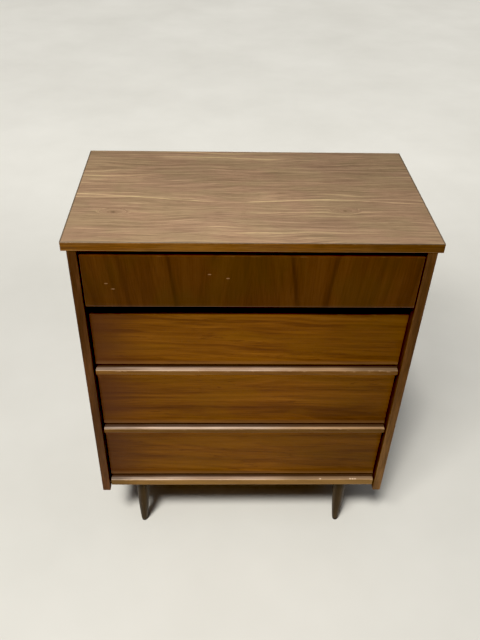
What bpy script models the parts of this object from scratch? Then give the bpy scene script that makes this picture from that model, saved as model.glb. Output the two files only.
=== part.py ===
"""A four-drawer chest on short tapered legs, about 0.81 m wide, 0.46 m deep and 1.0 m tall.

The case is a laminate-clad top on two side panels, tied together by front and back rails. The top
drawer's front lies flush with the panels' front edges. The three drawers below sit back behind a lip on
the rail under each of them, and all four open by hand along an edge of the front. Every drawer runs on
its front rail and on a wooden guide along its middle.

The front of the chest faces -Y, +Z is up, and the origin is on the floor under the middle of the top.
"""

import math

import bmesh
import bpy
from mathutils import Matrix, Vector

# Whole object
TOP_WIDTH = 0.8128
TOP_DEPTH = 0.460
HEIGHT = 1.002
FIT = 0.0003  # clearance between pieces that touch
BEYOND = 0.01  # how far a cutter runs past the piece that it cuts
SHARP_ANGLE = math.radians(40)  # rounded pieces shade smooth up to this angle between faces

# Top: a core with a laminate sheet on it and a band round its front and ends
TOP_THICKNESS = 0.022
LAMINATE = 0.0012
BAND = 0.0012
TOP_OVERHANG_FRONT = 0.0015
TOP_OVERHANG_BACK = 0.006
TOP_EASE = 0.0004

# Case
CASE_WIDTH = 0.7904
PANEL_THICKNESS = 0.0212
PANEL_BOTTOM = 0.818  # this and every other level in the case is measured down from the top
BACK_THICKNESS = 0.004
RABBET_WIDTH = 0.009
PANEL_EASE = 0.0012

# Rails: a drawer's front rail carries it, and its top is the drawer's floor level
RAIL_TOPS = (0.1720, 0.3615, 0.5672, 0.7720)
RAIL_THICKNESS = 0.015
BOTTOM_RAIL_THICKNESS = 0.024
RAIL_DEPTH = 0.065
FIRST_RAIL_SETBACK = 0.045  # room for fingers behind the lower edge of drawer 1
LIP_DEPTH = 0.0187
LIP_END_GAP = 0.0055
LIP_EASE = 0.0006
LIP_ROUND = 0.0044  # radius of a lip's two front edges
LIP_ROUND_STEPS = 6
STRETCHER_THICKNESS = 0.019

# Drawers, top to bottom
FRONT_TOPS = (0.0340, 0.2030, 0.3910, 0.5970)
FRONT_BOTTOM_GAP = 0.003  # from the rail's top up to the front's lower edge
FRONT_SETBACKS = (0.0, 0.019, 0.019, 0.019)
FRONT_THICKNESS = 0.019
FRONT_SIDE_GAP = 0.0033
FRONT_EASE = 0.0016
SIDE_THICKNESS = 0.012
SIDE_INSET = 0.0045  # of a drawer side's outer face from the end of the front
SIDE_BELOW_FRONT = 0.010
SIDE_LAP = 0.011  # how far the front's rabbet takes the side in
BOTTOM_THICKNESS = 0.004
BOTTOM_LEVEL = 0.0125  # underside of the drawer's bottom above the rail
GROOVE_DEPTH = 0.006
DRAWER_BACK_Y = 0.190
RUNNING_GAP = 0.0005

# Guide and the grooved runner that straddles it
GUIDE_WIDTH = 0.019
GUIDE_HEIGHT = 0.0085
RUNNER_WIDTH = 0.042
RUNNER_GROOVE = 0.0205
GUIDE_FRONT_SETBACK = 0.052
GUIDE_END_GAP = 0.002  # to the back panel
STOP_HEIGHT = 0.026  # of the block on the guide's back end that the shut drawer meets

# Legs
LEG_TOP_RADIUS = 0.0185
LEG_TIP_RADIUS = 0.0092
LEG_TOP_X = 0.2855
LEG_FOOT_X = 0.2915
LEG_TOP_SETBACK = 0.044
LEG_FOOT_SETBACK = 0.038
LEG_TOP_GAP = 0.0013
LEG_FOOT_GAP = 0.0008
LEG_SEGMENTS = 24
LEG_RINGS = 9
LEG_SHOULDER = 0.002
LEG_TIP_ROUND = 0.006
PLATE_SIZE = 0.046
PLATE_THICKNESS = 0.0025
PLATE_SCREW_SPACING = 0.034
PLATE_SCREW_HOLE = 0.0021
PLATE_BOLT_HOLE = 0.0045
GLIDE_HEIGHT = 0.0042
GLIDE_RADIUS = 0.0078
GLIDE_RIM = 0.0019  # height of the glide's straight rim above the floor
GLIDE_FLAT_RADIUS = 0.0062
GLIDE_SEGMENTS = 16

CASE_FRONT = -TOP_DEPTH / 2 + TOP_OVERHANG_FRONT
CASE_BACK = TOP_DEPTH / 2 - TOP_OVERHANG_BACK
INNER_HALF = CASE_WIDTH / 2 - PANEL_THICKNESS
BACK_INNER = CASE_BACK - BACK_THICKNESS - FIT
SIDES = {"left": -1, "right": 1}
ENDS = {"front": -1, "back": 1}


def level(depth_below_top):
    return HEIGHT - depth_below_top


def clear_scene():
    for obj in list(bpy.data.objects):
        bpy.data.objects.remove(obj, do_unlink=True)


def make_material(name, color, roughness, metallic=0.0):
    material = bpy.data.materials.new(name)
    material.use_nodes = True
    shader = material.node_tree.nodes["Principled BSDF"]
    shader.inputs["Base Color"].default_value = (*color, 1.0)
    shader.inputs["Roughness"].default_value = roughness
    shader.inputs["Metallic"].default_value = metallic
    material.diffuse_color = (*color, 1.0)
    return material


def make_materials():
    return {
        "laminate": make_material("laminate", (0.30, 0.20, 0.12), 0.45),
        "walnut_band": make_material("walnut_band", (0.16, 0.07, 0.015), 0.4),
        "walnut_dark": make_material("walnut_dark", (0.075, 0.026, 0.005), 0.4),
        "walnut": make_material("walnut", (0.15, 0.055, 0.010), 0.38),
        "lip_walnut": make_material("lip_walnut", (0.30, 0.16, 0.07), 0.4),
        "case_walnut": make_material("case_walnut", (0.10, 0.040, 0.012), 0.42),
        "core_board": make_material("core_board", (0.45, 0.33, 0.20), 0.85),
        "drawer_wood": make_material("drawer_wood", (0.50, 0.34, 0.19), 0.6),
        "hardboard": make_material("hardboard", (0.22, 0.13, 0.07), 0.75),
        "dark_steel": make_material("dark_steel", (0.06, 0.055, 0.05), 0.45, 1.0),
    }


def add_object(name, mesh, material, parent=None, location=(0, 0, 0)):
    obj = bpy.data.objects.new(name, mesh)
    bpy.context.scene.collection.objects.link(obj)
    if material is not None and not mesh.materials:
        mesh.materials.append(material)
    obj.location = location
    if parent is not None:
        obj.parent = parent
        obj.location = Vector(location) - parent.location
    return obj


def add_empty(name, location):
    empty = bpy.data.objects.new(name, None)
    bpy.context.scene.collection.objects.link(empty)
    empty.location = location
    return empty


def box_mesh(name, size):
    shape = bmesh.new()
    bmesh.ops.create_cube(shape, size=1.0)
    bmesh.ops.scale(shape, vec=size, verts=shape.verts)
    mesh = bpy.data.meshes.new(name)
    shape.to_mesh(mesh)
    shape.free()
    return mesh


def board(name, low, high, material, parent=None, ease=0.0, segments=1):
    """A straight board from its lowest to its highest corner, with its edges eased by a bevel."""
    low, high = Vector(low), Vector(high)
    obj = add_object(name, box_mesh(name, high - low), material, parent, (low + high) / 2)
    if ease:
        bevel = obj.modifiers.new("eased_edges", "BEVEL")
        bevel.width = ease
        bevel.segments = segments
    return obj


def round_front_edges(obj, radius, steps):
    """Rounds the two long edges along a board's front."""
    shape = bmesh.new()
    shape.from_mesh(obj.data)
    front = min(vert.co.y for vert in shape.verts)
    long_edges = []
    for edge in shape.edges:
        start, end = (vert.co for vert in edge.verts)
        if math.isclose(start.y, front) and math.isclose(end.y, front) and math.isclose(start.z, end.z):
            long_edges.append(edge)
    bmesh.ops.bevel(shape, geom=long_edges, offset=radius, segments=steps, profile=0.5, affect="EDGES")
    shape.to_mesh(obj.data)
    shape.free()
    obj.data.shade_smooth()
    obj.data.set_sharp_from_angle(angle=SHARP_ANGLE)


def cut_with(target, cutter):
    cutter.hide_render = True
    cutter.display_type = "WIRE"
    boolean = target.modifiers.new(cutter.name, "BOOLEAN")
    boolean.operation = "DIFFERENCE"
    boolean.solver = "EXACT"
    boolean.object = cutter


def cut_box(target, name, low, high, parent=None):
    cut_with(target, board(name, low, high, None, parent))


def turned_mesh(name, outline, segments, placements):
    """Solids of revolution: the outline's (radius, height) points spun about Z, once for each placement."""
    shape = bmesh.new()
    verts = [shape.verts.new((radius, 0.0, height)) for radius, height in outline]
    edges = [shape.edges.new(pair) for pair in zip(verts, verts[1:])]
    bmesh.ops.spin(
        shape,
        geom=verts + edges,
        cent=(0, 0, 0),
        axis=(0, 0, 1),
        angle=math.tau,
        steps=segments,
        use_merge=True,
    )
    bmesh.ops.remove_doubles(shape, verts=shape.verts, dist=1e-6)
    bmesh.ops.recalc_face_normals(shape, faces=shape.faces)
    group = bmesh.new()
    for placement in placements:
        copy = shape.copy()
        copy.transform(placement)
        part = bpy.data.meshes.new("part")
        copy.to_mesh(part)
        group.from_mesh(part)
        bpy.data.meshes.remove(part)
        copy.free()
    mesh = bpy.data.meshes.new(name)
    group.to_mesh(mesh)
    group.free()
    shape.free()
    mesh.shade_smooth()
    mesh.set_sharp_from_angle(angle=SHARP_ANGLE)
    return mesh


def cut_holes(target, name, radius, placements, segments):
    """Straight round holes, each centred on its placement and running along that placement's Z axis."""
    outline = ((0, BEYOND), (radius, BEYOND), (radius, -BEYOND), (0, -BEYOND))
    cut_with(target, add_object(name, turned_mesh(name, outline, segments, placements), None))


def build_top(materials):
    half_width = TOP_WIDTH / 2
    front, back = -TOP_DEPTH / 2, TOP_DEPTH / 2
    bottom, core_top = HEIGHT - TOP_THICKNESS, HEIGHT - LAMINATE - FIT
    band = BAND + FIT
    board(
        "top_core",
        (-half_width + band, front + band, bottom),
        (half_width - band, back, core_top),
        materials["core_board"],
    )
    board(
        "top_laminate",
        (-half_width, front, HEIGHT - LAMINATE),
        (half_width, back, HEIGHT),
        materials["laminate"],
        ease=TOP_EASE,
    )
    edge = board(
        "top_edge_band",
        (-half_width, front, bottom),
        (half_width, back, core_top),
        materials["walnut_band"],
        ease=TOP_EASE,
    )
    cut_box(
        edge,
        "cut_top_edge_band",
        (-half_width + BAND, front + BAND, bottom - BEYOND),
        (half_width - BAND, back + BEYOND, HEIGHT),
    )


def build_side_panels(materials):
    for side, sign in SIDES.items():
        outer, inner = sign * CASE_WIDTH / 2, sign * INNER_HALF
        panel = board(
            f"side_panel_{side}",
            (min(outer, inner), CASE_FRONT, level(PANEL_BOTTOM)),
            (max(outer, inner), CASE_BACK, level(TOP_THICKNESS) - FIT),
            materials["case_walnut"],
            ease=PANEL_EASE,
        )
        rabbet = sign * (INNER_HALF + RABBET_WIDTH)
        beyond = sign * (INNER_HALF - BEYOND)
        cut_box(
            panel,
            f"cut_rabbet_{side}",
            (min(rabbet, beyond), CASE_BACK - BACK_THICKNESS - FIT, 0.0),
            (max(rabbet, beyond), CASE_BACK + BEYOND, HEIGHT),
        )


def build_back_panel(materials):
    half_width = INNER_HALF + RABBET_WIDTH - FIT
    low_z, high_z = level(RAIL_TOPS[3] + BOTTOM_RAIL_THICKNESS), level(TOP_THICKNESS) - FIT
    board(
        "back_panel",
        (-half_width, CASE_BACK - BACK_THICKNESS, low_z),
        (half_width, CASE_BACK, high_z),
        materials["hardboard"],
    )


def build_stretchers(materials):
    """The two rails right under the top."""
    high_z = level(TOP_THICKNESS) - FIT
    low_z = high_z - STRETCHER_THICKNESS
    half_width = INNER_HALF - FIT
    front = CASE_FRONT + FIRST_RAIL_SETBACK
    for end, low_y in (("front", front), ("back", BACK_INNER - RAIL_DEPTH)):
        board(
            f"top_rail_{end}",
            (-half_width, low_y, low_z),
            (half_width, low_y + RAIL_DEPTH, high_z),
            materials["drawer_wood"],
        )


def rail_thickness(number):
    return BOTTOM_RAIL_THICKNESS if number == 4 else RAIL_THICKNESS


def build_guide(number, low_z, materials):
    """A strip along the middle of the case, with a raised block behind the shut drawer that stops it."""
    front, back = CASE_FRONT + GUIDE_FRONT_SETBACK, BACK_INNER - GUIDE_END_GAP
    stop_front = DRAWER_BACK_Y + FIT
    outline = (
        (front, low_z),
        (back, low_z),
        (back, low_z + STOP_HEIGHT),
        (stop_front, low_z + STOP_HEIGHT),
        (stop_front, low_z + GUIDE_HEIGHT),
        (front, low_z + GUIDE_HEIGHT),
    )
    shape = bmesh.new()
    profile = shape.faces.new([shape.verts.new((-GUIDE_WIDTH / 2, y, z)) for y, z in outline])
    pushed = bmesh.ops.extrude_face_region(shape, geom=[profile])["geom"]
    moved = [item for item in pushed if isinstance(item, bmesh.types.BMVert)]
    bmesh.ops.translate(shape, vec=(GUIDE_WIDTH, 0, 0), verts=moved)
    bmesh.ops.recalc_face_normals(shape, faces=shape.faces)
    mesh = bpy.data.meshes.new(f"drawer_guide_{number}")
    shape.to_mesh(mesh)
    shape.free()
    add_object(mesh.name, mesh, materials["drawer_wood"])


def build_rails(materials):
    """Front and back rails, the lips in front of rails 2 to 4, and the drawers' guides."""
    half_width = INNER_HALF - FIT
    for number, rail_top in enumerate(RAIL_TOPS, 1):
        high_z = level(rail_top)
        low_z = high_z - rail_thickness(number)
        front = CASE_FRONT + (FIRST_RAIL_SETBACK if number == 1 else LIP_DEPTH + FIT)
        board(
            f"front_rail_{number}",
            (-half_width, front, low_z),
            (half_width, front + RAIL_DEPTH, high_z),
            materials["drawer_wood"],
        )
        board(
            f"back_rail_{number}",
            (-half_width, BACK_INNER - RAIL_DEPTH, low_z),
            (half_width, BACK_INNER, high_z),
            materials["drawer_wood"],
        )
        build_guide(number, high_z + FIT, materials)
        if number > 1:
            lip_half = INNER_HALF - LIP_END_GAP
            lip = board(
                f"rail_lip_{number}",
                (-lip_half, CASE_FRONT, low_z),
                (lip_half, CASE_FRONT + LIP_DEPTH, high_z),
                materials["lip_walnut"],
                ease=LIP_EASE,
            )
            round_front_edges(lip, LIP_ROUND, LIP_ROUND_STEPS)


def build_drawer(number, materials):
    index = number - 1
    rail_z = level(RAIL_TOPS[index])
    front_y = CASE_FRONT + FRONT_SETBACKS[index]
    front_back_y = front_y + FRONT_THICKNESS
    front_half = INNER_HALF - FRONT_SIDE_GAP
    low_z = rail_z + FRONT_BOTTOM_GAP
    high_z = level(FRONT_TOPS[index])
    outer_half = front_half - SIDE_INSET
    inner_half = outer_half - SIDE_THICKNESS
    side_low_z = rail_z + RUNNING_GAP
    side_high_z = high_z - SIDE_BELOW_FRONT
    bottom_z = rail_z + BOTTOM_LEVEL
    name = f"drawer_{number}"
    slide = add_empty(f"{name}_slide", (0, front_y, (low_z + high_z) / 2))

    front = board(
        f"{name}_front",
        (-front_half, front_y, low_z),
        (front_half, front_back_y, high_z),
        materials["walnut_dark" if number == 1 else "walnut"],
        slide,
        ease=FRONT_EASE,
        segments=2,
    )
    board(
        f"{name}_back",
        (-inner_half + FIT, DRAWER_BACK_Y - SIDE_THICKNESS, bottom_z + BOTTOM_THICKNESS + FIT),
        (inner_half - FIT, DRAWER_BACK_Y, side_high_z),
        materials["drawer_wood"],
        slide,
    )
    groove_half = inner_half + GROOVE_DEPTH
    groove_low = (-groove_half, front_back_y - GROOVE_DEPTH, bottom_z - FIT)
    groove_high = (groove_half, DRAWER_BACK_Y + BEYOND, bottom_z + BOTTOM_THICKNESS + FIT)
    cut_box(front, f"cut_{name}_front_groove", groove_low, groove_high, slide)
    for side, sign in SIDES.items():
        outer, inner = sign * outer_half, sign * inner_half
        low_x, high_x = min(outer, inner), max(outer, inner)
        board_side = board(
            f"{name}_side_{side}",
            (low_x, front_back_y - SIDE_LAP + FIT, side_low_z),
            (high_x, DRAWER_BACK_Y, side_high_z),
            materials["drawer_wood"],
            slide,
        )
        cut_box(board_side, f"cut_{name}_{side}_groove", groove_low, groove_high, slide)
        cut_box(
            front,
            f"cut_{name}_{side}_rabbet",
            (low_x - FIT, front_back_y - SIDE_LAP, rail_z - BEYOND),
            (high_x + FIT, front_back_y + BEYOND, side_high_z + FIT),
            slide,
        )
    board(
        f"{name}_bottom",
        (-groove_half + FIT, front_back_y - GROOVE_DEPTH + FIT, bottom_z),
        (groove_half - FIT, DRAWER_BACK_Y, bottom_z + BOTTOM_THICKNESS),
        materials["hardboard"],
        slide,
    )
    runner = board(
        f"{name}_runner",
        (-RUNNER_WIDTH / 2, front_back_y + FIT, side_low_z),
        (RUNNER_WIDTH / 2, DRAWER_BACK_Y, bottom_z - FIT),
        materials["drawer_wood"],
        slide,
    )
    cut_box(
        runner,
        f"cut_{name}_runner",
        (-RUNNER_GROOVE / 2, front_back_y - BEYOND, rail_z - BEYOND),
        (RUNNER_GROOVE / 2, DRAWER_BACK_Y + BEYOND, rail_z + FIT + GUIDE_HEIGHT + RUNNING_GAP),
        slide,
    )


def leg_outline(length):
    """Half the outline of a leg, from its top over the shoulder and down the swelling taper to the tip."""
    points = [(0, 0), (LEG_TOP_RADIUS - LEG_SHOULDER, 0)]
    taper = length - LEG_SHOULDER - LEG_TIP_ROUND
    for ring in range(LEG_RINGS + 1):
        along = ring / LEG_RINGS
        radius = LEG_TOP_RADIUS - (LEG_TOP_RADIUS - LEG_TIP_RADIUS) * along**2
        points.append((radius, -LEG_SHOULDER - taper * along))
    for degrees in (25, 50, 75):
        angle = math.radians(degrees)
        radius = LEG_TIP_RADIUS - LEG_TIP_ROUND / 2 * (1 - math.cos(angle))
        points.append((radius, -length + LEG_TIP_ROUND * (1 - math.sin(angle))))
    points.append((0, -length))
    return points


def build_legs(materials):
    plate_z = level(RAIL_TOPS[3] + BOTTOM_RAIL_THICKNESS) - FIT - PLATE_THICKNESS
    glide = (
        (0, GLIDE_HEIGHT),
        (GLIDE_RADIUS, GLIDE_HEIGHT),
        (GLIDE_RADIUS, GLIDE_RIM),
        (GLIDE_FLAT_RADIUS, 0),
        (0, 0),
    )
    in_place = [Matrix.Identity(4)]
    glide_mesh = turned_mesh("leg_glide", glide, GLIDE_SEGMENTS, in_place)
    drop = Vector((LEG_FOOT_X - LEG_TOP_X, LEG_TOP_SETBACK - LEG_FOOT_SETBACK, 0))
    drop.z = plate_z - LEG_TOP_GAP - GLIDE_HEIGHT - LEG_FOOT_GAP
    leg_mesh = turned_mesh("leg", leg_outline(drop.length), LEG_SEGMENTS, in_place)
    for end, end_sign in ENDS.items():
        edge = CASE_FRONT if end == "front" else CASE_BACK
        for side, sign in SIDES.items():
            top = Vector((sign * LEG_TOP_X, edge - end_sign * LEG_TOP_SETBACK, plate_z - LEG_TOP_GAP))
            foot = top + Vector((sign * drop.x, end_sign * drop.y, -drop.z))
            leg = add_object(f"leg_{end}_{side}", leg_mesh, materials["case_walnut"], location=top)
            leg.rotation_mode = "QUATERNION"
            leg.rotation_quaternion = (top - foot).to_track_quat("Z", "Y")
            glide_place = (foot.x, foot.y, 0)
            add_object(f"leg_glide_{end}_{side}", glide_mesh, materials["dark_steel"], location=glide_place)
            build_leg_plate(f"leg_plate_{end}_{side}", Vector((top.x, top.y, plate_z)), materials)


def build_leg_plate(name, centre, materials):
    """A square steel plate under the bottom rail, with a hole for the leg's bolt and four for its screws."""
    half = PLATE_SIZE / 2
    plate = board(
        name,
        centre - Vector((half, half, 0)),
        centre + Vector((half, half, PLATE_THICKNESS)),
        materials["dark_steel"],
    )
    reach = PLATE_SCREW_SPACING / 2
    corners = [Vector((x * reach, y * reach, 0)) for x in (-1, 1) for y in (-1, 1)]
    screws = [Matrix.Translation(centre + corner) for corner in corners]
    cut_holes(plate, f"cut_{name}_screws", PLATE_SCREW_HOLE, screws, 8)
    cut_holes(plate, f"cut_{name}_bolt", PLATE_BOLT_HOLE, [Matrix.Translation(centre)], 12)


def build_chest():
    clear_scene()
    materials = make_materials()
    build_top(materials)
    build_side_panels(materials)
    build_back_panel(materials)
    build_stretchers(materials)
    build_rails(materials)
    for number in range(1, len(RAIL_TOPS) + 1):
        build_drawer(number, materials)
    build_legs(materials)


build_chest()
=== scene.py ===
"""The looks of the four-drawer chest: walnut and laminate finishes, its fasteners, and a plain studio."""

import math
import random
from collections import namedtuple

import bmesh
import bpy
from mathutils import Matrix, Vector


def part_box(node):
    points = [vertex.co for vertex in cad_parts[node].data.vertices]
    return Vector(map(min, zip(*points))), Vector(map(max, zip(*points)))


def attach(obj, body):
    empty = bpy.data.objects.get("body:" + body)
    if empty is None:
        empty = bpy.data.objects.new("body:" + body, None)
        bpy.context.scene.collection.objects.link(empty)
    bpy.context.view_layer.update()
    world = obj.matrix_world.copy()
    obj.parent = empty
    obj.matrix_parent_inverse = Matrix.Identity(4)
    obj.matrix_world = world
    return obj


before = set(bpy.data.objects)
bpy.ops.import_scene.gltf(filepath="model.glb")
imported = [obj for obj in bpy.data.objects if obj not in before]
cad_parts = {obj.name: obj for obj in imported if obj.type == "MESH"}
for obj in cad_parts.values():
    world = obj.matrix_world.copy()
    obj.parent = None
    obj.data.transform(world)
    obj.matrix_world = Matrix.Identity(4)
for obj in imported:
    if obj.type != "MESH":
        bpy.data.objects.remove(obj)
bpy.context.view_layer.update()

DICE = random.Random(11)

# Camera: where it stands in front of the chest, how it is turned, and its lens
CAMERA_PLACE = Vector((-0.0849, -1.4442, 1.7362))
CAMERA_PITCH = 38.5367  # degrees below the horizon
CAMERA_YAW = -1.6378
CAMERA_ROLL = 1.1971
CAMERA_LENS = 37.81
CAMERA_SHIFT = (0.0188, 0.0158)
BLACK_LEVEL = 0.010

# Wood tones, from dark latewood to light earlywood: (place on the ramp, linear colour)
DARK_WALNUT = ((0.0, (0.030, 0.0085, 0.0028)), (0.5, (0.060, 0.0185, 0.0035)), (1.0, (0.084, 0.0285, 0.0045)))
FRONT_WALNUT = ((0.0, (0.036, 0.010, 0.0018)), (0.5, (0.072, 0.024, 0.0024)), (1.0, (0.104, 0.0375, 0.0036)))
CASE_WALNUT = ((0.0, (0.042, 0.0165, 0.0060)), (0.5, (0.090, 0.036, 0.0100)), (1.0, (0.130, 0.056, 0.0170)))
LEG_WALNUT = ((0.0, (0.018, 0.0095, 0.0040)), (0.5, (0.034, 0.0195, 0.0080)), (1.0, (0.054, 0.032, 0.0125)))
LIP_WALNUT = ((0.0, (0.056, 0.020, 0.0040)), (0.5, (0.096, 0.041, 0.0085)), (1.0, (0.130, 0.062, 0.0150)))
BAND_WALNUT = ((0.0, (0.066, 0.024, 0.0070)), (0.5, (0.130, 0.050, 0.0095)), (1.0, (0.185, 0.080, 0.0140)))
PALE_WOOD = ((0.0, (0.300, 0.170, 0.080)), (0.5, (0.440, 0.280, 0.145)), (1.0, (0.520, 0.360, 0.205)))

# Tones of the other surfaces
PRINT = ((0.0, (0.185, 0.116, 0.068)), (0.4, (0.255, 0.165, 0.098)), (0.65, (0.300, 0.198, 0.118)),
         (1.0, (0.440, 0.306, 0.180)))
HARDBOARD = ((0.3, (0.115, 0.062, 0.030)), (0.7, (0.215, 0.125, 0.066)))
CHIPBOARD = ((0.0, (0.26, 0.16, 0.085)), (0.6, (0.42, 0.29, 0.165)), (1.0, (0.55, 0.41, 0.25)))
DARK_STEEL = ((0.35, (0.035, 0.03, 0.027)), (0.65, (0.10, 0.095, 0.09)))
BRIGHT_STEEL = ((0.35, (0.12, 0.105, 0.09)), (0.65, (0.30, 0.28, 0.25)))
FLOOR = ((0.3, (0.60, 0.585, 0.535)), (0.7, (0.655, 0.64, 0.59)))

# Single colours: finishes, stains and wear, and some painted highlights, reflections, sheen and shade
AMBER = (1.0, 0.75, 0.45)
WORN = (0.40, 0.22, 0.10)
SCRATCHED = (0.42, 0.24, 0.12)
OLIVE_VENEER = (0.050, 0.0240, 0.0030)
FIRST_FRONT_FOOT_HIGHLIGHT = (0.110, 0.062, 0.045)
ORANGE_VENEER = (0.080, 0.0305, 0.0016)
DULL_VENEER = (0.030, 0.0090, 0.0044)
FOOT_REFLECTION = (0.130, 0.076, 0.040)
LAST_LIP_SHEEN = (0.140, 0.090, 0.028)
RUBBED_LIP = ((0.400, 0.265, 0.180), (0.560, 0.425, 0.325))
TAN_LIP = (0.345, 0.205, 0.098)
CHIPPED = (0.46, 0.31, 0.19)
NICKED = (0.60, 0.45, 0.32)
GRIME_AND_SHADE = (0.040, 0.019, 0.011)
PRINTED_GOLD = (0.520, 0.370, 0.205)
PRINTED_STREAK = (0.540, 0.385, 0.215)
PRINTED_KNOT = (0.120, 0.075, 0.040)
PRINTED_DASH = (0.085, 0.050, 0.027)
PINKISH = (1.02, 0.985, 0.995)
OLIVE = (0.985, 1.01, 0.97)
PRINT_EDGE = (0.055, 0.045, 0.028)
RED_BAND = (0.150, 0.052, 0.0035)
BAND_FOOT = (0.150, 0.085, 0.050)
BAND_WORN = (0.30, 0.16, 0.05)
PANEL_WORN = (0.34, 0.17, 0.055)
LEG_SCUFF = (0.16, 0.095, 0.045)
OLD_STAIN = (0.23, 0.13, 0.06)
SLOT_SHADE = (0.026, 0.010, 0.004)
LAMP_WHITE = (1.0, 0.985, 0.95)

# Drawers 2 to 4: the heart line's place from the front's middle, how far it drifts, a shade of the whole
# front, and painted light on its top edge that lifts the shadow of the lip above
Front = namedtuple("Front", "heart slope shade top_shade")
FRONTS = {
    2: Front((-0.27, -0.16), (0.05, 0.03), 1.06, 1.0),
    3: Front((-0.28, -0.10), (0.08, -0.05), 0.98, 1.55),
    4: Front((-0.26, 0.06), (-0.06, 0.05), 0.86, 1.55),
}

# Lips: painted shade on the front face, paleness of the rubbed top, painted shade at its left end, where its
# right end begins and the painted shade there, and how far the rubbed strip stops short of the front edge and
# of the back
Lip = namedtuple("Lip", "front_shade paleness left_shade right_from right_shade ahead behind")
LIPS = {
    2: Lip(0.90, 0.78, 0.57, 0.20, 0.50, 0.0017, 0.0062),
    3: Lip(0.56, 1.02, 0.48, 0.24, 0.80, 0.0026, 0.0098),
    4: Lip(1.0, 0.69, 0.44, 0.05, 0.76, 0.0004, 0.0080),
}

# Side panels: the heart line's place, wear on the front edge, painted light and shade low down and high up,
# and a tint
Panel = namedtuple("Panel", "heart worn shades tint")
PANELS = {
    "left": Panel((0.02, 0.48), 0.10, (0.82, 0.62), (1.01, 0.87, 0.98)),
    "right": Panel((0.02, -0.48), 0.45, (0.78, 1.04), (1.0, 1.0, 1.0)),
}

# Small marks, in metres: (x, z) on the first front, (x, y) in the laminate, x on the last lip
FIRST_FRONT_NICKS = ((-0.3188, 0.8967), (-0.3048, 0.8821), (-0.0927, 0.9216), (-0.0524, 0.9114))
TOP_KNOTS = ((-0.309, -0.100), (0.214, -0.088))
LAST_LIP_NICKS = (0.219, 0.304, 0.311, 0.318)

# The laminate's long streak: its y at the left end, then the x where each bend starts and ends, and its rise
STREAK_START = -0.013
STREAK_BENDS = ((-0.42, -0.03, -0.036), (-0.03, 0.19, 0.0135), (0.19, 0.42, -0.0165))

GRAIN_TURN = {"x": (0, 0, 0), "y": (0, 0, -90), "z": (0, 90, 0)}  # degrees, to lay the grain along an axis


# ---------------------------------------------------------------- materials


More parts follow.
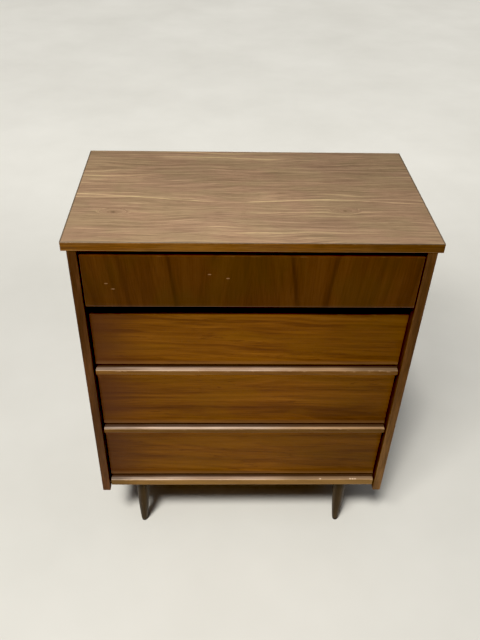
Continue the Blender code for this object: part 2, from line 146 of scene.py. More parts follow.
class Graph:
    """A material's node tree, with short calls to add nodes and join them up."""

    def __init__(self, name):
        self.material = bpy.data.materials.new(name)
        self.material.use_nodes = True
        self.tree = self.material.node_tree
        self.shader = self.tree.nodes["Principled BSDF"]
        self.place = self.node("ShaderNodeTexCoord").outputs["Object"]

    def node(self, kind, **settings):
        node = self.tree.nodes.new(kind)
        for name, value in settings.items():
            setattr(node, name, value)
        return node

    def plug(self, socket, value):
        if isinstance(value, bpy.types.NodeSocket):
            self.tree.links.new(value, socket)
        else:
            socket.default_value = value

    def math(self, operation, *values):
        node = self.node("ShaderNodeMath", operation=operation)
        for socket, value in zip(node.inputs, values):
            self.plug(socket, value)
        return node.outputs[0]

    def times(self, first, *others):
        for other in others:
            first = self.math("MULTIPLY", first, other)
        return first

    def minus(self, first, second):
        return self.math("SUBTRACT", first, second)

    def times_plus(self, first, second, added):
        return self.math("MULTIPLY_ADD", first, second, added)

    def length(self, first, second):
        """The long side of a right triangle with these two short sides."""
        squares = self.times_plus(first, first, self.times(second, second))
        return self.math("SQRT", squares)

    def stretch(self, vector, scale, turn=(0, 0, 0), shift=(0, 0, 0)):
        node = self.node("ShaderNodeMapping")
        self.plug(node.inputs["Vector"], vector)
        node.inputs["Scale"].default_value = scale
        node.inputs["Rotation"].default_value = [math.radians(angle) for angle in turn]
        node.inputs["Location"].default_value = shift
        return node.outputs[0]

    def split(self, vector):
        node = self.node("ShaderNodeSeparateXYZ")
        self.plug(node.inputs[0], vector)
        return node.outputs[:3]

    def join(self, *values):
        node = self.node("ShaderNodeCombineXYZ")
        for socket, value in zip(node.inputs, values):
            self.plug(socket, value)
        return node.outputs[0]

    def noise(self, vector, scale, detail=2.0, roughness=0.5, distortion=0.0, shift=(0, 0, 0)):
        """Noise over a place. A scale of three numbers stretches it, and shift moves it."""
        if isinstance(scale, tuple):
            vector, scale = self.stretch(vector, scale, shift=shift), 1.0
        node = self.node("ShaderNodeTexNoise")
        self.plug(node.inputs["Vector"], vector)
        return self.set_noise(node, scale, detail, roughness, distortion)

    def noise_along(self, value, scale, detail=2.0, roughness=0.5):
        """Noise that changes only with one number, such as the distance from a tree's heart."""
        node = self.node("ShaderNodeTexNoise", noise_dimensions="1D")
        self.plug(node.inputs["W"], value)
        return self.set_noise(node, scale, detail, roughness)

    def set_noise(self, node, scale, detail, roughness, distortion=0.0):
        node.inputs["Scale"].default_value = scale
        node.inputs["Detail"].default_value = detail
        node.inputs["Roughness"].default_value = roughness
        node.inputs["Distortion"].default_value = distortion
        return node.outputs[0]

    def fade(self, value, start, end, low=0.0, high=1.0):
        """low up to start, high from end on, with a smooth step between them. start may lie above end."""
        node = self.node("ShaderNodeMapRange", interpolation_type="SMOOTHSTEP")
        names = ("Value", "From Min", "From Max", "To Min", "To Max")
        for name, number in zip(names, (value, start, end, low, high)):
            self.plug(node.inputs[name], number)
        return node.outputs[0]

    def ramp(self, value, stops):
        node = self.node("ShaderNodeValToRGB")
        elements = node.color_ramp.elements
        while len(elements) < len(stops):
            elements.new(0.5)
        for element, (place, color) in zip(elements, stops):
            element.position = place
            element.color = (*color, 1.0)
        self.plug(node.inputs[0], value)
        return node.outputs[0]

    def mix(self, share, first, second, blend="MIX"):
        node = self.node("ShaderNodeMix", data_type="RGBA", blend_type=blend)
        self.plug(node.inputs[0], share)
        for socket, value in ((node.inputs[6], first), (node.inputs[7], second)):
            self.plug(socket, (*value, 1.0) if isinstance(value, tuple) else value)
        return node.outputs[2]

    def tint(self, color, filter_color):
        return self.mix(1.0, color, filter_color, "MULTIPLY")

    def shade(self, color, share):
        """The colour multiplied by a number, which may vary over the surface."""
        node = self.node("ShaderNodeCombineColor")
        for socket in node.inputs:
            self.plug(socket, share)
        return self.tint(color, node.outputs[0])

    def bump(self, height, distance, strength):
        node = self.node("ShaderNodeBump")
        self.plug(node.inputs["Height"], height)
        node.inputs["Distance"].default_value = distance
        node.inputs["Strength"].default_value = strength
        self.plug(self.shader.inputs["Normal"], node.outputs[0])

    def spots(self, centres, scale):
        """1 inside a few small ragged ellipsoids, 0 outside them. scale is 1 over their three radii."""
        rag = self.noise(self.place, 700.0)
        total = 0.0
        for centre in centres:
            away = self.node("ShaderNodeVectorMath", operation="DISTANCE")
            self.plug(away.inputs[0], self.stretch(self.place, scale))
            away.inputs[1].default_value = [c * s for c, s in zip(centre, scale)]
            reach = self.math("ADD", away.outputs["Value"], self.times_plus(rag, 1.2, -0.6))
            total = self.math("MAXIMUM", total, self.fade(reach, 1.0, 0.7))
        return total

    def finish(self, color, roughness, specular=0.5, tint=(1.0, 1.0, 1.0), metallic=0.0):
        self.plug(self.shader.inputs["Base Color"], color)
        self.plug(self.shader.inputs["Roughness"], roughness)
        self.shader.inputs["Specular IOR Level"].default_value = specular
        self.shader.inputs["Specular Tint"].default_value = (*tint, 1.0)
        self.shader.inputs["Metallic"].default_value = metallic
        return self.material


def edge_distance(graph, low, high):
    """Distance from a point on a box's surface to the nearest of its edges: the middle of three depths."""
    centre, half = (low + high) / 2, (high - low) / 2
    depths = []
    for axis, along in enumerate(graph.split(graph.place)):
        offset = graph.math("ABSOLUTE", graph.minus(along, centre[axis]))
        depths.append(graph.minus(half[axis], offset))
    smaller = graph.math("MINIMUM", depths[0], depths[1])
    larger = graph.math("MAXIMUM", depths[0], depths[1])
    return graph.math("MAXIMUM", smaller, graph.math("MINIMUM", larger, depths[2]))


def book_matched(graph, joint, half_leaf):
    """Places mirrored about the joint between two veneer leaves and about the middle of each leaf."""
    x, y, z = graph.split(graph.place)
    leaf = graph.math("ABSOLUTE", graph.minus(x, joint))
    leaf = graph.math("ABSOLUTE", graph.minus(leaf, half_leaf))
    return graph.join(leaf, y, z)


def wood(graph, grain, tones, heart, slope, ring_scale, waviness=1.0, figure=0.4, contrast=1.0, veins=0.0,
         rings_at=None):
    """Sawn wood: growth rings round a heart line, long straight streaks over them, then fibres and pores.

    tones are the colours from dark latewood to light earlywood. heart is the heart line's place across the
    grain, slope how far it drifts per metre along it, figure the rings' share against the straight streaks',
    and veins the strength of a few dark growth lines. rings_at is where the rings are read, when it isn't the
    place itself. Returns (colour, fibre height).
    """
    base = graph.stretch(graph.place, (1, 1, 1), GRAIN_TURN[grain])
    drift = graph.noise(base, (2.2, 10, 10), roughness=0.55)
    ripple = graph.noise(base, (9, 30, 30))
    warp = graph.times_plus(drift, 0.060 * waviness, -0.030 * waviness)
    warp = graph.times_plus(ripple, 0.008 * waviness, warp)
    trunk = base if rings_at is None else graph.stretch(rings_at, (1, 1, 1), GRAIN_TURN[grain])
    along, across, deep = graph.split(trunk)
    across = graph.times_plus(along, slope[0], graph.minus(across, heart[0]))
    deep = graph.times_plus(along, slope[1], graph.minus(deep, heart[1]))
    radius = graph.length(across, graph.math("ADD", deep, warp))
    rings = graph.noise_along(radius, ring_scale, detail=4.0, roughness=0.62)
    bands = graph.noise(base, (1.4, 26, 26), detail=3.0, roughness=0.6, distortion=0.25)
    streak = graph.noise(base, (6, 150, 150), detail=4.0, roughness=0.68, distortion=0.2)
    straight = graph.times_plus(bands, 0.5, graph.times(streak, 0.5))
    lines = graph.times_plus(rings, figure, graph.times(straight, 1.0 - figure))
    spread = 0.19 / contrast
    color = graph.ramp(graph.fade(lines, 0.5 - spread, 0.5 + spread), tones)
    darkest = tones[0][1]
    vein = graph.fade(graph.noise_along(radius, ring_scale * 1.3, detail=1.5), 0.60, 0.70)
    shown = graph.fade(graph.noise(base, (4, 14, 14)), 0.46, 0.60)
    color = graph.mix(graph.times(vein, shown, veins), color, darkest)
    fibre = graph.noise(base, (8, 520, 520), detail=3.0, roughness=0.6)
    color = graph.shade(color, graph.fade(fibre, 0.25, 0.75, 0.88, 1.11))
    pores = graph.fade(graph.noise(base, (38, 1500, 1500), detail=1.0), 0.60, 0.70)
    color = graph.mix(graph.times(pores, 0.40), color, darkest)
    return color, graph.minus(graph.times(fibre, 0.35), pores)


def rub_edges(graph, color, box, worn, amount):
    """The outermost 3 mm at every edge rubbed paler in ragged stretches."""
    rag = graph.noise(graph.place, (55, 130, 130), detail=4.0, roughness=0.7)
    edge = graph.fade(edge_distance(graph, *box), 0.0030, 0.0002)
    rubbed = graph.times(edge, graph.fade(rag, 0.50, 0.66, 0.12, 1.0))
    return graph.mix(graph.times(rubbed, amount), color, worn)


def lacquered(graph, color, height, gloss=0.36, specular=0.22):
    """A thin amber lacquer over the wood, smudged in places."""
    blotch = graph.noise(graph.place, (4, 6, 6), detail=3.0, roughness=0.6)
    color = graph.shade(color, graph.fade(blotch, 0.3, 0.7, 0.92, 1.07))
    smudge = graph.noise(graph.place, 7.0, detail=3.0, roughness=0.65)
    graph.bump(height, 0.00012, 0.35)
    return graph.finish(color, graph.fade(smudge, 0.3, 0.7, gloss - 0.01, gloss + 0.04), specular, AMBER)


def first_front_material():
    """Drawer 1: dark veneer with its grain upright, soft arches in it, a few pale nicks, and a painted
    highlight along its foot.
    """
    low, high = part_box("drawer_1_front")
    graph = Graph("front_1_walnut")
    color, height = wood(
        graph, "z", DARK_WALNUT,
        heart=(low.y + 0.03, 0.119), slope=(0.0, 0.14), ring_scale=26.0,
        waviness=0.8, figure=0.62, contrast=0.75, veins=0.9,
        rings_at=book_matched(graph, joint=0.0, half_leaf=0.135),
    )
    hue = graph.noise(graph.place, (9, 3, 5), detail=3.0, roughness=0.6)
    color = graph.mix(graph.fade(hue, 0.42, 0.58, 0.0, 0.32), color, OLIVE_VENEER)
    up = graph.split(graph.place)[2]
    # painted highlight: the foot of the front paler, as where its bottom edge catches light
    color = graph.mix(graph.fade(up, low.z + 0.0060, low.z + 0.0015, 0.0, 0.30), color, FIRST_FRONT_FOOT_HIGHLIGHT)
    color = rub_edges(graph, color, (low, high), WORN, 0.10)
    nicks = graph.spots([(x, low.y, z) for x, z in FIRST_FRONT_NICKS], (220, 120, 620))
    color = graph.mix(graph.times(nicks, 0.42), color, SCRATCHED)
    return lacquered(graph, color, height)


def lower_front_material(number):
    """Drawers 2 to 4: long level grain, a dull left end, painted shade towards the right end, painted light
    on the top edge and a painted reflection of the lip below along the foot.
    """
    low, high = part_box(f"drawer_{number}_front")
    front = FRONTS[number]
    graph = Graph(f"front_{number}_walnut")
    color, height = wood(
        graph, "x", FRONT_WALNUT,
        heart=(front.heart[0], (low.z + high.z) / 2 + front.heart[1]), slope=front.slope, ring_scale=55.0,
        waviness=0.9, figure=0.36, contrast=1.15, veins=0.45,
    )
    hue = graph.noise(graph.place, (4, 9, 14), detail=3.0, roughness=0.6, shift=(number, 0, 0))
    color = graph.mix(graph.fade(hue, 0.45, 0.62, 0.0, 0.45), color, ORANGE_VENEER)
    tick = graph.noise(graph.place, (20, 190, 190), distortion=0.9, shift=(0, number, 0))
    ticked = graph.fade(graph.noise(graph.place, (6, 20, 20)), 0.44, 0.58, 0.0, 0.60)
    color = graph.mix(graph.times(graph.fade(tick, 0.60, 0.68), ticked), color, FRONT_WALNUT[0][1])
    along, _, up = graph.split(graph.place)
    ragged = graph.noise(graph.place, (2.5, 8, 30), detail=3.0, roughness=0.6)
    wander = graph.times_plus(ragged, 0.10, graph.minus(along, 0.05))
    left = graph.fade(wander, low.x, low.x + 0.15, 1.0, 0.0)
    color = graph.mix(graph.times(left, 0.80), color, DULL_VENEER)
    color = graph.shade(color, front.shade)
    # painted shade: darker towards the right end, where the light falls off
    color = graph.shade(color, graph.fade(wander, 0.02, high.x - 0.06, 1.0, 0.70))
    # painted light: the top edge brightened where the lip above casts its shadow
    color = graph.shade(color, graph.fade(up, high.z - 0.018, high.z - 0.004, 1.0, front.top_shade))
    # painted reflection: the pale lip below mirrored in the foot of the glossy front
    color = graph.mix(graph.fade(up, low.z + 0.018, low.z + 0.002, 0.0, 0.30), color, FOOT_REFLECTION)
    color = rub_edges(graph, color, (low, high), WORN, 0.10)
    return lacquered(graph, color, height)


def worn_lip_top_with_highlight(graph, along, low, high, lip, number):
    """The pale colour of a lip's rubbed top, with a painted highlight: pinkish on the left, fading to tan on
    the right, duller at both ends.
    """
    patch = graph.noise(graph.place, (6, 40, 40), detail=3.0, roughness=0.6, shift=(number, 0, 0))
    wander = graph.times_plus(patch, 0.16, graph.minus(along, 0.08))
    pale = graph.mix(graph.fade(patch, 0.35, 0.65), *RUBBED_LIP)
    # painted highlight fading out: paler on the left, tan towards the right
    pale = graph.mix(graph.fade(wander, 0.0, 0.18, 0.0, 0.78), pale, TAN_LIP)
    # painted shade at both ends, where the highlight falls off
    pale = graph.shade(pale, graph.fade(wander, low.x + 0.02, low.x + 0.15, lip.left_shade, 1.04))
    pale = graph.shade(pale, graph.fade(wander, lip.right_from, lip.right_from + 0.12, 1.0, lip.right_shade))
    lane = graph.noise(graph.place, (14, 700, 10))
    return graph.shade(pale, graph.fade(lane, 0.3, 0.7, 0.88 * lip.paleness, 1.12 * lip.paleness))


def lip_material(number):
    """A lip's flat top is rubbed pale by hands, with grime and a painted shadow along its back where the
    drawer above meets it; its front keeps the wood's colour, in painted shade.
    """
    low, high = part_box(f"rail_lip_{number}")
    lip = LIPS[number]
    graph = Graph(f"lip_{number}_walnut")
    color, height = wood(
        graph, "x", LIP_WALNUT, heart=(-0.30, low.z - 0.05), slope=(0.10, 0.03), ring_scale=60.0, figure=0.3
    )
    along, out, up = graph.split(graph.place)
    # painted shade: darker towards the right end, where the light falls off
    color = graph.shade(color, graph.fade(along, 0.05, high.x, 1.0, 0.80))
    # painted shade on the front face, which stands in shade
    color = graph.shade(color, lip.front_shade)
    if number == 4:
        # painted sheen: the last lip paler and greyer, as if lit without shade
        color = graph.mix(0.30, color, LAST_LIP_SHEEN)
        color = graph.shade(color, graph.fade(along, low.x, low.x + 0.10, 0.56, 1.0))
    on_top = graph.fade(up, high.z - 0.0032, high.z - 0.0012)
    past_front = graph.fade(out, low.y + lip.ahead - 0.0010, low.y + lip.ahead + 0.0010, 0.12, 1.0)
    rubbed = worn_lip_top_with_highlight(graph, along, low, high, lip, number)
    color = graph.mix(graph.times(on_top, past_front, 0.95), color, rubbed)
    chips = graph.noise(graph.place, (60, 160, 160), detail=4.0, roughness=0.7, shift=(number, 0, 0))
    near_front = graph.fade(out, low.y + 0.006, low.y + 0.003)
    near_top = graph.fade(up, high.z - 0.005, high.z - 0.002)
    chipped = graph.times(near_front, near_top, graph.fade(chips, 0.56, 0.64))
    color = graph.mix(graph.times(chipped, 0.20), color, CHIPPED)
    if number == 4:
        nicks = graph.spots([(x, low.y + 0.003, high.z) for x in LAST_LIP_NICKS], (300, 420, 420))
        color = graph.mix(graph.times(nicks, 0.7), color, NICKED)
    # grime and painted shadow: the back of the top darkened, as in the gap under the drawer above
    grime_and_shade_from = high.y - lip.behind
    color = graph.mix(graph.fade(out, grime_and_shade_from - 0.0008, grime_and_shade_from + 0.0008, 0.0, 0.92), color, GRIME_AND_SHADE)
    return lacquered(graph, color, height, specular=0.25)


def long_streak(graph, along, across):
    """One pale streak the whole length of the top, falling, rising and falling again from left to right."""
    line = STREAK_START
    for start, end, rise in STREAK_BENDS:
        line = graph.math("ADD", line, graph.fade(along, start, end, 0.0, rise))
    off = graph.math("ABSOLUTE", graph.minus(across, line))
    patchy = graph.fade(graph.noise_along(along, 9.0), 0.35, 0.60, 0.25, 0.75)
    return graph.times(graph.fade(off, 0.0030, 0.0008), patchy)


def print_flow(graph, along, across):
    """How far across the printed grain a point lies: bent gently along the top, ringed round the knots."""
    drift = graph.noise(graph.place, (2.6, 8, 0))
    swirl = graph.noise(graph.place, (6, 17, 0), detail=1.5)
    bent = graph.times_plus(swirl, 0.011, graph.times_plus(drift, 0.060, across))
    for x, y in TOP_KNOTS:
        away = graph.length(graph.times(graph.minus(along, x), 0.42), graph.minus(across, y))
        near = graph.fade(away, 0.018, 0.003, 0.0, 0.9)
        bent = graph.times_plus(near, graph.minus(away, bent), bent)
    return bent


def laminate_material():
    """Wood-pattern laminate: fine streaks along the top in soft figures, under a satin surface, with painted
    light brighter to the front and left.
    """
    low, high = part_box("top_laminate")
    graph = Graph("top_laminate_print")
    along, across, _ = graph.split(graph.place)
    bent = print_flow(graph, along, across)
    flow = graph.join(along, bent, 0.0)
    figure = graph.noise_along(bent, 90.0, detail=5.0, roughness=0.70)
    wave = graph.noise(flow, (4, 95, 0), detail=4.0, roughness=0.62, distortion=0.2)
    short = graph.noise(flow, (9, 420, 0), detail=3.0, roughness=0.66, shift=(2, 5, 0))
    lines = graph.times_plus(figure, 0.36, graph.times(wave, 0.22))
    lines = graph.times_plus(short, 0.42, lines)
    color = graph.ramp(graph.fade(lines, 0.30, 0.70), PRINT)
    gold = graph.fade(graph.noise_along(bent, 60.0), 0.58, 0.66)
    shown = graph.fade(graph.noise(graph.place, (3, 9, 0), shift=(1, 4, 0)), 0.45, 0.60, 0.0, 0.5)
    color = graph.mix(graph.times(gold, shown), color, PRINTED_GOLD)
    color = graph.mix(long_streak(graph, along, across), color, PRINTED_STREAK)
    knots = graph.spots([(x, y, high.z) for x, y in TOP_KNOTS], (190, 260, 260))
    color = graph.mix(graph.times(knots, 0.70), color, PRINTED_KNOT)
    streak = graph.noise(flow, (10, 640, 0), roughness=0.6)
    color = graph.shade(color, graph.fade(streak, 0.28, 0.72, 0.76, 1.21))
    dashes = graph.fade(graph.noise(flow, (34, 1500, 0), detail=1.0), 0.60, 0.67)
    color = graph.mix(graph.times(dashes, 0.45), color, PRINTED_DASH)
    broad = graph.noise(graph.place, (1.6, 6, 0), shift=(3, 1, 0))
    color = graph.shade(color, graph.fade(broad, 0.3, 0.7, 0.90, 1.10))
    hue = graph.noise(graph.place, (7, 16, 0), detail=3.0, roughness=0.6, shift=(0, 4, 0))
    color = graph.mix(graph.fade(hue, 0.40, 0.60), graph.tint(color, PINKISH), graph.tint(color, OLIVE))
    # painted shade: darker towards the right, where the light falls off
    color = graph.shade(color, graph.fade(along, -0.05, 0.28, 1.0, 0.83))
    # painted light: brighter towards the front, nearer the lamp
    color = graph.shade(color, graph.fade(across, low.y, high.y, 1.14, 0.96))
    edge = graph.fade(edge_distance(graph, low, high), 0.0018, 0.0005)
    side = graph.fade(graph.minus(high.x, graph.math("ABSOLUTE", along)), 0.0040, 0.0015)
    color = graph.mix(graph.times(graph.math("MAXIMUM", edge, side), 0.75), color, PRINT_EDGE)
    smudge = graph.noise(graph.place, 5.0, detail=4.0, roughness=0.7)
    graph.bump(graph.minus(streak, dashes), 0.00005, 0.3)
    return graph.finish(color, graph.fade(smudge, 0.3, 0.7, 0.42, 0.56), specular=0.38)


def band_material():
    """The walnut band round the top's edge, darker towards the right end of the front in painted shade."""
    low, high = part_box("top_edge_band")
    graph = Graph("edge_band_walnut")
    color, height = wood(
        graph, "x", BAND_WALNUT, heart=(-0.30, 0.90), slope=(0.02, 0.01), ring_scale=80.0,
        waviness=0.4, figure=0.25, contrast=1.5,
    )
    along, _, up = graph.split(graph.place)
    hue = graph.noise(graph.place, (7, 30, 60), detail=3.0, roughness=0.65)
    color = graph.mix(graph.fade(hue, 0.42, 0.58, 0.0, 0.55), color, RED_BAND)
    streak = graph.noise(graph.place, (16, 500, 500), detail=3.0, roughness=0.65)
    color = graph.shade(color, graph.fade(streak, 0.32, 0.68, 0.76, 1.22))
    # painted shade: darker towards the right, where the light falls off
    color = graph.shade(color, graph.fade(along, 0.0, high.x, 1.0, 0.58))
    color = graph.mix(graph.fade(up, low.z + 0.0040, low.z + 0.0010, 0.0, 0.35), color, BAND_FOOT)
    color = rub_edges(graph, color, (low, high), BAND_WORN, 0.30)
    return lacquered(graph, color, height, 0.34, 0.25)


def panel_material(side):
    """A side panel: upright walnut veneer, its front edge rubbed in streaks, with painted light and shade
    from bottom to top.
    """
    low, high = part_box(f"side_panel_{side}")
    panel = PANELS[side]
    graph = Graph(f"side_panel_{side}_walnut")
    color, height = wood(
        graph, "z", CASE_WALNUT, heart=panel.heart, slope=(0.05, 0.03), ring_scale=60.0,
        waviness=0.8, figure=0.45,
    )
    _, out, up = graph.split(graph.place)
    rag = graph.noise(graph.place, (90, 90, 7), detail=3.0, roughness=0.6)
    front = graph.times(graph.fade(out, low.y + 0.010, low.y + 0.001), graph.fade(rag, 0.40, 0.60, 0.4, 1.0))
    worn = graph.fade(up, low.z + 0.45, low.z + 0.05, 0.0, panel.worn)
    color = graph.mix(graph.times(front, worn), color, PANEL_WORN)
    streak = graph.noise(graph.place, (420, 420, 22), detail=3.0, roughness=0.65)
    color = graph.shade(color, graph.fade(streak, 0.30, 0.70, 0.74, 1.24))
    color = graph.tint(color, panel.tint)
    # painted light and shade: the panel's brightness changed from low down to high up
    color = graph.shade(color, graph.fade(up, 0.35, 0.80, *panel.shades))
    color = rub_edges(graph, color, (low, high), WORN, 0.12)
    return lacquered(graph, color, height)


def leg_material():
    """Turned legs, stained dark, scuffed along their length."""
    graph = Graph("leg_walnut")
    color, height = wood(
        graph, "z", LEG_WALNUT, heart=(0.05, 0.05), slope=(0.02, 0.02), ring_scale=90.0, figure=0.35
    )
    rag = graph.noise(graph.place, (160, 160, 40), detail=4.0, roughness=0.7)
    color = graph.mix(graph.times(graph.fade(rag, 0.60, 0.70), 0.30), color, LEG_SCUFF)
    return lacquered(graph, color, height, 0.42)


def pale_wood_material(name, grain, shaded_to=None):
    """Plain unfinished hardwood, as on drawer sides and rails, with painted shade from the finger slot ahead
    of the given depth.
    """
    graph = Graph(name)
    color, height = wood(
        graph, grain, PALE_WOOD, heart=(-0.20, 0.35), slope=(0.05, 0.08), ring_scale=90.0,
        figure=0.5, contrast=0.8,
    )
    stain = graph.noise(graph.place, 3.0, detail=4.0, roughness=0.7)
    color = graph.mix(graph.fade(stain, 0.48, 0.72, 0.0, 0.35), color, OLD_STAIN)
    # painted shade: the fronts of the rails darkened where the slot under drawer 1 lies in shadow
    if shaded_to is not None:
        ragged = graph.times_plus(stain, 0.02, graph.split(graph.place)[1])
        color = graph.mix(graph.fade(ragged, shaded_to + 0.02, shaded_to), color, SLOT_SHADE)
    graph.bump(height, 0.0002, 0.6)
    return graph.finish(color, 0.68, specular=0.25)


def hardboard_material():
    """Pressed brown fibre board, with a fine felted speckle."""
    graph = Graph("hardboard_brown")
    felt = graph.noise(graph.place, 900.0, detail=3.0, roughness=0.7)
    cloud = graph.noise(graph.place, 9.0, detail=3.0)
    color = graph.shade(graph.ramp(felt, HARDBOARD), graph.fade(cloud, 0.3, 0.7, 0.86, 1.10))
    graph.bump(felt, 0.00015, 0.5)
    return graph.finish(color, 0.62, specular=0.3)


def chipboard_material():
    """Chipboard: pressed flakes of several browns."""
    graph = Graph("chipboard_core")
    flakes = graph.node("ShaderNodeTexVoronoi")
    graph.plug(flakes.inputs["Vector"], graph.stretch(graph.place, (1, 1, 2.4)))
    flakes.inputs["Scale"].default_value = 420.0
    color = graph.ramp(graph.split(flakes.outputs["Color"])[0], CHIPBOARD)
    graph.bump(flakes.outputs["Distance"], 0.0003, 0.6)
    return graph.finish(color, 0.85, specular=0.2)


def steel_material(name, tones, roughness):
    """Plated steel with a little tarnish and fine scratches."""
    graph = Graph(name)
    tarnish = graph.noise(graph.place, 160.0, detail=4.0, roughness=0.7)
    color = graph.ramp(tarnish, tones)
    graph.bump(graph.noise(graph.place, (200, 2600, 900)), 0.00004, 0.4)
    return graph.finish(color, graph.fade(tarnish, 0.3, 0.7, roughness, roughness + 0.2), metallic=1.0)


def dress(node, material):
    """Gives a CAD node its finish in place of the plain colour that it was packed with."""
    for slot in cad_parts[node].material_slots:
        slot.link = "OBJECT"
        slot.material = material


def dress_chest():
    dress("top_laminate", laminate_material())
    dress("top_core", chipboard_material())
    dress("top_edge_band", band_material())
    for side in PANELS:
        dress(f"side_panel_{side}", panel_material(side))
    dress("drawer_1_front", first_front_material())
    for number in FRONTS:
        dress(f"drawer_{number}_front", lower_front_material(number))
        dress(f"rail_lip_{number}", lip_material(number))
    legs = leg_material()
    dark_steel = steel_material("dark_steel", DARK_STEEL, 0.38)
    along_x = pale_wood_material("rail_wood", "x", shaded_to=-0.17)
    along_y = pale_wood_material("drawer_side_wood", "y")
    hardboard = hardboard_material()
    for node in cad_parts:
        if node.startswith(("leg_plate", "leg_glide")):
            dress(node, dark_steel)
        elif node.startswith("leg_"):
            dress(node, legs)
        elif node == "back_panel" or node.endswith("_bottom"):
            dress(node, hardboard)
        elif "_side_" in node and node.startswith("drawer") or "guide" in node or "runner" in node:
            dress(node, along_y)
        elif "_rail_" in node or node.endswith("_back"):
            dress(node, along_x)


# ---------------------------------------------------------------- fasteners

DOWN = (0, 0, -1)
BACKWARD = (0, 1, 0)


def spun(outline, segments):
    """A bmesh turned about Z from (radius, height) points that run from the axis back to the axis."""
    shape = bmesh.new()
    verts = [shape.verts.new((radius, 0.0, height)) for radius, height in outline]
    edges = [shape.edges.new(pair) for pair in zip(verts, verts[1:])]
    bmesh.ops.spin(
        shape,
        geom=verts + edges,
        cent=(0, 0, 0),
        axis=(0, 0, 1),
        angle=math.tau,
        steps=segments,
        use_merge=True,
    )
    bmesh.ops.remove_doubles(shape, verts=shape.verts, dist=1e-6)
    bmesh.ops.recalc_face_normals(shape, faces=shape.faces)
    return shape


def screw_head_shape(radius, height, slot_width, slot_depth):
    """A domed head, face up on Z, with a single slot across it."""
    neck, sunk, dome_steps = radius * 0.45, -height * 0.6, 6
    outline = [(0, sunk), (neck, sunk), (neck, 0), (radius, 0)]
    for step in range(1, dome_steps):
        angle = math.pi / 2 * step / dome_steps
        outline.append((radius * math.cos(angle) ** 0.7, height * math.sin(angle)))
    outline.append((0, height))
    head = spun(outline, 24)
    mesh = bpy.data.meshes.new("head")
    head.to_mesh(mesh)
    head.free()
    solid = bpy.data.objects.new("head", mesh)
    cutter_shape = bmesh.new()
    bmesh.ops.create_cube(cutter_shape, size=1.0)
    bmesh.ops.scale(cutter_shape, vec=(radius * 3, slot_width, slot_depth * 2), verts=cutter_shape.verts)
    bmesh.ops.translate(cutter_shape, vec=(0, 0, height), verts=cutter_shape.verts)
    cutter_mesh = bpy.data.meshes.new("slot")
    cutter_shape.to_mesh(cutter_mesh)
    cutter_shape.free()
    cutter = bpy.data.objects.new("slot", cutter_mesh)
    for helper in (solid, cutter):
        bpy.context.scene.collection.objects.link(helper)
    cut = solid.modifiers.new("slot", "BOOLEAN")
    cut.object = cutter
    bpy.context.view_layer.update()
    evaluated = solid.evaluated_get(bpy.context.evaluated_depsgraph_get())
    result = bmesh.new()
    result.from_mesh(evaluated.to_mesh())
    evaluated.to_mesh_clear()
    for helper in (solid, cutter):
        bpy.data.objects.remove(helper)
    return result


def nail_shape(radius, height):
    """A flat nail head with a short length of shank behind it."""
    shank, sunk = radius * 0.4, -0.002
    outline = ((0, sunk), (shank, sunk), (shank, 0), (radius, 0), (radius, height * 0.6),
               (radius * 0.85, height), (0, height))
    return spun(outline, 16)


def bolt_shape(radius, length, pitch):
    """The bare stretch of a threaded bolt: a rod with a rounded thread along it."""
    root = radius * 0.86
    turns = max(1, round(length / pitch))
    step = length / turns
    outline = [(0, 0), (root, 0)]
    for turn in range(turns):
        start = length * turn / turns
        outline += [(root, start + step * 0.15), (radius, start + step * 0.5), (root, start + step * 0.85)]
    outline += [(root, length), (0, length)]
    return spun(outline, 20)


def copies(name, shape, placements, material, body):
    """One piece made of a shape copied to each placement, riding on a body."""
    group = bmesh.new()
    part = bpy.data.meshes.new("part")
    for placement in placements:
        copy = shape.copy()
        copy.transform(placement)
        copy.to_mesh(part)
        group.from_mesh(part)
        copy.free()
    bpy.data.meshes.remove(part)
    mesh = bpy.data.meshes.new(name)
    group.to_mesh(mesh)
    group.free()
    mesh.shade_smooth()
    mesh.set_sharp_from_angle(angle=math.radians(35))
    mesh.materials.append(material)
    piece = bpy.data.objects.new(name, mesh)
    bpy.context.scene.collection.objects.link(piece)
    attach(piece, body)


def facing(point, direction, spin=0.0):
    """A placement at a point, with the shape's +Z along a direction, turned about it by spin."""
    turn = Vector(direction).to_track_quat("Z", "Y").to_matrix().to_4x4()
    return Matrix.Translation(point) @ turn @ Matrix.Rotation(spin, 4, "Z")


def any_angle():
    return DICE.uniform(0, math.tau)


def fasten_legs(steel):
    """Four screws up through each leg plate, and the bolt from each leg's top into its plate."""
    head = screw_head_shape(radius=0.0036, height=0.0016, slot_width=0.0009, slot_depth=0.0009)
    bolt = bolt_shape(radius=0.0040, length=0.0045, pitch=0.0015)
    screw_spread, bolt_sunk = 0.017, 0.0005
    for end in ("front", "back"):
        for side in ("left", "right"):
            low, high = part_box(f"leg_plate_{end}_{side}")
            centre = (low + high) / 2
            corners = [Vector((x, y, 0)) * screw_spread for x in (-1, 1) for y in (-1, 1)]
            places = [facing((centre.x + c.x, centre.y + c.y, low.z), DOWN, any_angle()) for c in corners]
            copies(f"plate_screws_{end}_{side}", head, places, steel, "case")
            leg_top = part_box(f"leg_{end}_{side}")[1].z
            bolt_place = Matrix.Translation((centre.x, centre.y, leg_top - bolt_sunk))
            copies(f"leg_bolt_{end}_{side}", bolt, [bolt_place], steel, "case")


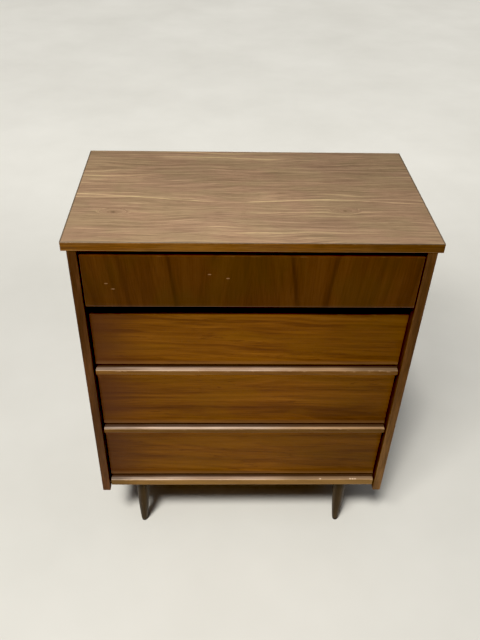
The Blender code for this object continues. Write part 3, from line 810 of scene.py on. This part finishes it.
def nail_back_panel(steel):
    """Nails all round the back panel, a little out of line."""
    low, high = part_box("back_panel")
    inset, spacing, wobble = 0.0045, 0.13, 0.0015
    across = max(2, round((high.x - low.x) / spacing))
    upright = max(2, round((high.z - low.z) / spacing))
    points = []
    for step in range(across + 1):
        x = low.x + inset + (high.x - low.x - 2 * inset) * step / across
        points += [(x, low.z + inset), (x, high.z - inset)]
    for step in range(1, upright):
        z = low.z + inset + (high.z - low.z - 2 * inset) * step / upright
        points += [(low.x + inset, z), (high.x - inset, z)]
    places = [
        facing((x + DICE.uniform(-wobble, wobble), high.y, z + DICE.uniform(-wobble, wobble)), BACKWARD)
        for x, z in points
    ]
    copies("back_panel_nails", nail_shape(0.0024, 0.0005), places, steel, "case")


def screw_top_down(steel):
    """Screws up through the two top rails into the top, one in the middle and one towards each end."""
    xs = (-0.30, 0.0, 0.30)
    head = screw_head_shape(radius=0.0040, height=0.0014, slot_width=0.0010, slot_depth=0.0008)
    for end in ("front", "back"):
        low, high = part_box(f"top_rail_{end}")
        middle = (low.y + high.y) / 2
        places = [facing((x, middle, low.z), DOWN, any_angle()) for x in xs]
        copies(f"top_screws_{end}", head, places, steel, "case")


def fasten_drawers(steel):
    """A row of small nails up through each drawer's bottom into its back, clear of the runner."""
    pin = nail_shape(0.0016, 0.0003)
    gaps, spread, runner_half_width = 6, 0.9, 0.03
    for number in (1, 2, 3, 4):
        low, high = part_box(f"drawer_{number}_bottom")
        back_low, back_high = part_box(f"drawer_{number}_back")
        y = (back_low.y + back_high.y) / 2
        xs = [low.x * spread + (high.x - low.x) * spread * step / gaps for step in range(gaps + 1)]
        places = [facing((x, y, low.z), DOWN) for x in xs if abs(x) > runner_half_width]
        copies(f"drawer_{number}_bottom_nails", pin, places, steel, f"drawer_{number}")


def fasten():
    steel = steel_material("fastener_steel", BRIGHT_STEEL, 0.35)
    fasten_legs(steel)
    nail_back_panel(steel)
    screw_top_down(steel)
    fasten_drawers(steel)


# ---------------------------------------------------------------- studio


def add_floor():
    """A plain pale floor, a little paler behind the chest as painted light, where the lamps fall off."""
    graph = Graph("floor_pale")
    cloud = graph.noise(graph.place, 1.3, detail=4.0, roughness=0.6)
    color = graph.ramp(cloud, FLOOR)
    # painted light: paler further back, making up for the lamps' falloff
    color = graph.shade(color, graph.fade(graph.split(graph.place)[1], 0.3, 2.6, 1.0, 1.40))
    material = graph.finish(color, 0.75, specular=0.2)
    shape = bmesh.new()
    bmesh.ops.create_grid(shape, x_segments=8, y_segments=8, size=12.0)
    mesh = bpy.data.meshes.new("floor")
    shape.to_mesh(mesh)
    shape.free()
    mesh.materials.append(material)
    floor = bpy.data.objects.new("floor", mesh)
    bpy.context.scene.collection.objects.link(floor)


def add_lamp(light, place, target, power, color):
    """Puts a light into the scene at place, aimed at target."""
    light.energy = power
    light.color = color
    lamp = bpy.data.objects.new(light.name, light)
    lamp.location = place
    lamp.rotation_mode = "QUATERNION"
    lamp.rotation_quaternion = (Vector(target) - Vector(place)).to_track_quat("-Z", "Y")
    bpy.context.scene.collection.objects.link(lamp)
    return lamp


def add_softbox(name, place, target, size, power, color=LAMP_WHITE):
    light = bpy.data.lights.new(name, "AREA")
    light.shape = "RECTANGLE"
    light.size, light.size_y = size
    return add_lamp(light, place, target, power, color)


def add_sun(name, direction, strength, spread):
    """Soft light that comes evenly from one direction, like a ceiling full of lamps."""
    light = bpy.data.lights.new(name, "SUN")
    light.angle = math.radians(spread)
    add_lamp(light, (0, 0, 0), direction, strength, LAMP_WHITE)


def light_only(lamp, nodes):
    """Keeps a lamp's light to the named CAD nodes, and out of their reflections."""
    lamp.visible_glossy = False
    lit = bpy.data.collections.new(f"lit_by_{lamp.name}")
    for node in nodes:
        lit.objects.link(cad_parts[node])
    lamp.light_linking.receiver_collection = lit


def add_lights():
    """A ceiling and a key light for everything, and two lamps that light only some pieces."""
    add_sun("ceiling", (0.20, 0.44, -0.88), strength=2.1, spread=10)
    add_softbox("key", (-0.9, -1.7, 3.1), (-0.15, -0.2, 0.7), size=(0.9, 0.4), power=62)
    fill = add_softbox("fill", (0.0, -1.55, 0.10), (0.0, -0.2, 0.75), size=(1.8, 0.16), power=28)
    lower_fronts = [f"drawer_{number}_front" for number in FRONTS]
    light_only(fill, lower_fronts + [f"rail_lip_{number}" for number in LIPS])
    rear = add_softbox("rear", (1.3, 2.8, 1.5), (0.0, 0.2, 0.5), (2.0, 1.2), 70, color=(1.0, 0.99, 0.97))
    light_only(rear, ["back_panel", "side_panel_left", "side_panel_right", "leg_back_left", "leg_back_right"])
    add_sky()


def add_sky():
    """A pale surround to look at, which lights the chest only from high above."""
    world = bpy.data.worlds.new("studio")
    world.use_nodes = True
    tree = world.node_tree
    sky = tree.nodes["Background"]
    sky.inputs["Color"].default_value = (0.93, 0.95, 1.0, 1.0)
    direction = tree.nodes.new("ShaderNodeTexCoord").outputs["Generated"]
    split = tree.nodes.new("ShaderNodeSeparateXYZ")
    tree.links.new(direction, split.inputs[0])
    rise = tree.nodes.new("ShaderNodeMapRange")
    for name, value in (("From Min", 0.60), ("From Max", 0.95), ("To Min", 0.0), ("To Max", 0.60)):
        rise.inputs[name].default_value = value
    tree.links.new(split.outputs[2], rise.inputs["Value"])
    seen = tree.nodes.new("ShaderNodeLightPath").outputs["Is Camera Ray"]
    strength = tree.nodes.new("ShaderNodeMix")
    tree.links.new(seen, strength.inputs[0])
    tree.links.new(rise.outputs[0], strength.inputs[2])
    strength.inputs[3].default_value = 0.75
    tree.links.new(strength.outputs[0], sky.inputs["Strength"])
    bpy.context.scene.world = world


def add_camera():
    data = bpy.data.cameras.new("camera")
    data.lens = CAMERA_LENS
    data.shift_x, data.shift_y = CAMERA_SHIFT
    camera = bpy.data.objects.new("camera", data)
    bpy.context.scene.collection.objects.link(camera)
    heading = Matrix.Rotation(math.radians(CAMERA_YAW), 4, "Z")
    tilt = Matrix.Rotation(math.radians(90 - CAMERA_PITCH), 4, "X")
    roll = Matrix.Rotation(math.radians(CAMERA_ROLL), 4, "Z")
    camera.matrix_world = Matrix.Translation(CAMERA_PLACE) @ heading @ tilt @ roll
    bpy.context.scene.camera = camera
    look = bpy.context.scene.view_settings
    look.view_transform = "Standard"
    look.use_curve_mapping = True
    look.curve_mapping.black_level = (BLACK_LEVEL,) * 3
    look.curve_mapping.update()


dress_chest()
fasten()
add_floor()
add_lights()
add_camera()

bpy.context.view_layer.update()
